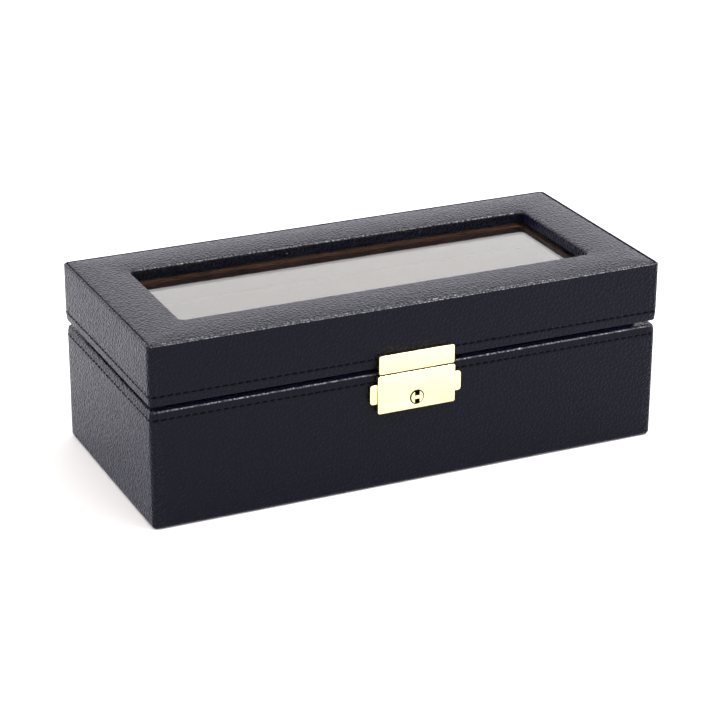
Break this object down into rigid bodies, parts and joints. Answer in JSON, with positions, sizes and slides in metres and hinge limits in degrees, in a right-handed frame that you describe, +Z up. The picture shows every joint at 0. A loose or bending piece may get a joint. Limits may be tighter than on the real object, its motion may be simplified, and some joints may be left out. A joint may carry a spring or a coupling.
{
  "type": "watch box",
  "caption": "Leather-covered watch box with a hinged window lid, a press-button lock, a divided suede interior and lift-out watch pillows.",
  "frame": {"origin": "middle of the footprint's box (lock front to hinge back) on the surface it stands on", "axes": "+X along the box's width to the viewer's right, +Y from the lock to the hinges, +Z up"},
  "size_m": [0.25, 0.1222, 0.087],
  "materials": {
    "black_leather": "black pebble-grain artificial leather, satin",
    "fibreboard": "raw fibreboard",
    "brown_suede": "chocolate brown suede-cloth on card",
    "pillow_suede": "brown suede-cloth cushion",
    "black_felt": "black felt",
    "clear_glass": "clear flat glass",
    "gold_plate": "polished pale gold plating",
    "hinge_brass": "polished brass",
    "steel": "zinc-plated steel"
  },
  "bodies": {
    "base": {"base_leather": "black_leather", "base_felt": "black_felt", "base_bottom_board": "fibreboard", "base_front_board": "fibreboard", "base_back_board": "fibreboard", "base_left_board": "fibreboard", "base_right_board": "fibreboard", "base_floor_lining": "brown_suede", "base_front_lining": "brown_suede", "base_back_lining": "brown_suede", "base_left_lining": "brown_suede", "base_right_lining": "brown_suede", "divider_1": "brown_suede", "divider_2": "brown_suede", "divider_3": "brown_suede", "divider_4": "brown_suede", "lock_cover": "gold_plate", "hinge_left_base_leaf": "hinge_brass", "hinge_right_base_leaf": "hinge_brass", "hinge_left_pin": "hinge_brass", "hinge_right_pin": "hinge_brass", "hinge_base_screw_1": "hinge_brass", "hinge_base_screw_2": "hinge_brass", "hinge_base_screw_3": "hinge_brass", "hinge_base_screw_4": "hinge_brass", "lock_tray": "steel", "catch_spring": "steel"},
    "lid": {"lid_top_board": "fibreboard", "lid_front_board": "fibreboard", "lid_back_board": "fibreboard", "lid_left_board": "fibreboard", "lid_right_board": "fibreboard", "lid_side_leather": "black_leather", "lid_top_leather": "black_leather", "window_glass": "clear_glass", "glass_retainer": "brown_suede", "lid_front_lining": "brown_suede", "lid_back_lining": "brown_suede", "lid_left_lining": "brown_suede", "lid_right_lining": "brown_suede", "hasp_plate": "gold_plate", "hasp_screw_1": "steel", "hasp_screw_2": "steel", "hinge_left_lid_leaf": "hinge_brass", "hinge_right_lid_leaf": "hinge_brass", "hinge_lid_screw_1": "hinge_brass", "hinge_lid_screw_2": "hinge_brass", "hinge_lid_screw_3": "hinge_brass", "hinge_lid_screw_4": "hinge_brass"},
    "left_catch": {"left_catch": "gold_plate"},
    "right_catch": {"right_catch": "gold_plate"},
    "lock_plug": {"lock_plug": "gold_plate", "lock_cam": "steel"},
    "pillow_1": {"watch_pillow_1": "pillow_suede"},
    "pillow_2": {"watch_pillow_2": "pillow_suede"},
    "pillow_3": {"watch_pillow_3": "pillow_suede"},
    "pillow_4": {"watch_pillow_4": "pillow_suede"},
    "pillow_5": {"watch_pillow_5": "pillow_suede"}
  },
  "joints": [
    {"name": "lid_hinge", "type": "hinge", "parent": "base", "child": "lid", "pos_m": [0, 0.05735, 0.0568], "axis": [-1, 0, 0], "range_deg": [0, 95]},
    {"name": "left_button_press", "type": "slide", "parent": "base", "child": "left_catch", "axis": [1, 0, 0], "range_m": [0, 0.002], "stiffness_N_per_m": 1500, "springref_m": -0.001, "deforming": ["catch_spring"]},
    {"name": "right_button_press", "type": "slide", "parent": "base", "child": "right_catch", "axis": [-1, 0, 0], "range_m": [0, 0.002], "stiffness_N_per_m": 1500, "springref_m": -0.001, "deforming": ["catch_spring"]},
    {"name": "key_turn", "type": "hinge", "parent": "base", "child": "lock_plug", "pos_m": [0, -0.06095, 0.0428], "axis": [0, 1, 0], "range_deg": [0, 90]},
    {"name": "pillow_1_lift", "type": "slide", "parent": "base", "child": "pillow_1", "axis": [0, 0, 1], "range_m": [0, 0.022]},
    {"name": "pillow_2_lift", "type": "slide", "parent": "base", "child": "pillow_2", "axis": [0, 0, 1], "range_m": [0, 0.022]},
    {"name": "pillow_3_lift", "type": "slide", "parent": "base", "child": "pillow_3", "axis": [0, 0, 1], "range_m": [0, 0.022]},
    {"name": "pillow_4_lift", "type": "slide", "parent": "base", "child": "pillow_4", "axis": [0, 0, 1], "range_m": [0, 0.022]},
    {"name": "pillow_5_lift", "type": "slide", "parent": "base", "child": "pillow_5", "axis": [0, 0, 1], "range_m": [0, 0.022]}
  ]
}
